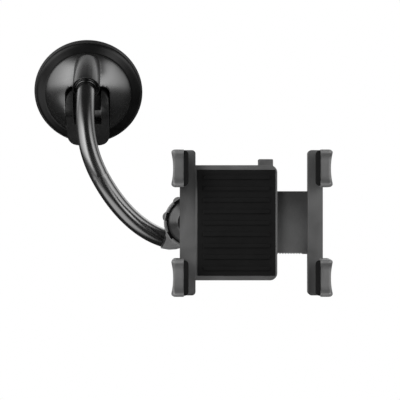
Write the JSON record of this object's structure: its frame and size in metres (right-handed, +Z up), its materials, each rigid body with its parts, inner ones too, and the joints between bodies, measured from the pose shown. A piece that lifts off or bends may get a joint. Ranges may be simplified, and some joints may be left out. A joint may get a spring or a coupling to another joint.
{
  "type": "car phone mount",
  "caption": "Windscreen phone mount: lever-locked suction base, bent flexible arm, ball joint with a clamp nut, and a sprung two-jaw phone clamp.",
  "frame": {"origin": "centre of the suction face, in the plane of its sealing ring", "axes": "+X across to the clamp's side, +Z up, +Y through the window, away from the user"},
  "size_m": [0.1713, 0.1338, 0.1475],
  "materials": {
    "rubber": "matte moulded rubber with a fine grain",
    "ring_plastic": "fine grained black plastic",
    "satin_plastic": "satin charcoal plastic",
    "joint_plastic": "matte dark grey plastic",
    "clamp_plastic": "satin dark grey plastic",
    "sleeve": "glossy black flexible sleeve",
    "steel": "plain machined steel",
    "spring_steel": "drawn spring wire",
    "liner": "plain natural acetal"
  },
  "bodies": {
    "base": {"suction_pad": "rubber", "base_ring": "ring_plastic", "base_screws": "steel", "dome_cover": "satin_plastic", "root_ferrule": "satin_plastic", "core_lower": "steel"},
    "plunger_body": {"plunger": "ring_plastic", "lever_pin": "steel"},
    "lever_body": {"lever": "satin_plastic"},
    "arm_mid": {"core_middle": "steel", "arm_sleeve": "sleeve"},
    "arm_head": {"core_upper": "steel", "head_elbow": "joint_plastic", "socket_cup": "joint_plastic"},
    "nut_body": {"clamp_nut": "joint_plastic"},
    "liner_body": {"friction_cup": "liner"},
    "stud_body": {"ball_stud": "steel"},
    "cradle": {"stud_screw": "steel", "rear_shell": "clamp_plastic", "front_shell": "clamp_plastic", "shell_screws": "steel", "cushion": "rubber", "fixed_jaw": "clamp_plastic", "fixed_grip_upper": "rubber", "fixed_grip_lower": "rubber", "jaw_springs": "spring_steel", "button_spring": "spring_steel"},
    "jaw": {"sliding_jaw": "clamp_plastic", "sliding_grip_upper": "rubber", "sliding_grip_lower": "rubber"},
    "button": {"release_button": "clamp_plastic"}
  },
  "joints": [
    {"name": "plunger_lift", "type": "slide", "parent": "base", "child": "plunger_body", "axis": [0.0322, -0.9213, -0.3875], "range_m": [-0.0025, 0], "deforming": ["suction_pad"]},
    {"name": "lever_flip", "type": "hinge", "parent": "plunger_body", "child": "lever_body", "pos_m": [0.0006, -0.01704, -0.00717], "axis": [-0.9994, -0.0349, 0], "range_deg": [0, 65]},
    {"name": "arm_bend_low", "type": "hinge", "parent": "base", "child": "arm_mid", "pos_m": [0.00378, -0.05856, -0.03314], "axis": [0, 1, 0], "range_deg": [-12, 12], "deforming": ["arm_sleeve"]},
    {"name": "arm_bend_high", "type": "hinge", "parent": "arm_mid", "child": "arm_head", "pos_m": [0.02849, -0.06082, -0.07633], "axis": [0.6863, 0, 0.7274], "range_deg": [-12, 12], "deforming": ["arm_sleeve"]},
    {"name": "nut_turn", "type": "hinge", "parent": "arm_head", "child": "nut_body", "pos_m": [0.0628, -0.078, -0.0785], "axis": [0, -1, 0], "range_deg": [0, 180]},
    {"name": "ball_pan", "type": "hinge", "parent": "arm_head", "child": "liner_body", "pos_m": [0.0628, -0.078, -0.0785], "axis": [0, 0, 1], "range_deg": [-15, 15]},
    {"name": "ball_tilt", "type": "hinge", "parent": "liner_body", "child": "stud_body", "pos_m": [0.0628, -0.078, -0.0785], "axis": [1, 0, 0], "range_deg": [-15, 15]},
    {"name": "ball_roll", "type": "hinge", "parent": "stud_body", "child": "cradle", "pos_m": [0.0628, -0.078, -0.0785], "axis": [0, 1, 0], "range_deg": [-90, 90]},
    {"name": "jaw_slide", "type": "slide", "parent": "cradle", "child": "jaw", "axis": [1, 0, 0], "range_m": [-0.016, 0.008], "deforming": ["jaw_springs"]},
    {"name": "button_press", "type": "slide", "parent": "cradle", "child": "button", "axis": [0, 0, -1], "range_m": [0, 0.002], "stiffness_N_per_m": 400, "deforming": ["button_spring"]}
  ],
  "couplings": [
    {"joint": "plunger_lift", "follows": "lever_flip", "m_per_rad": -0.0022035}
  ]
}
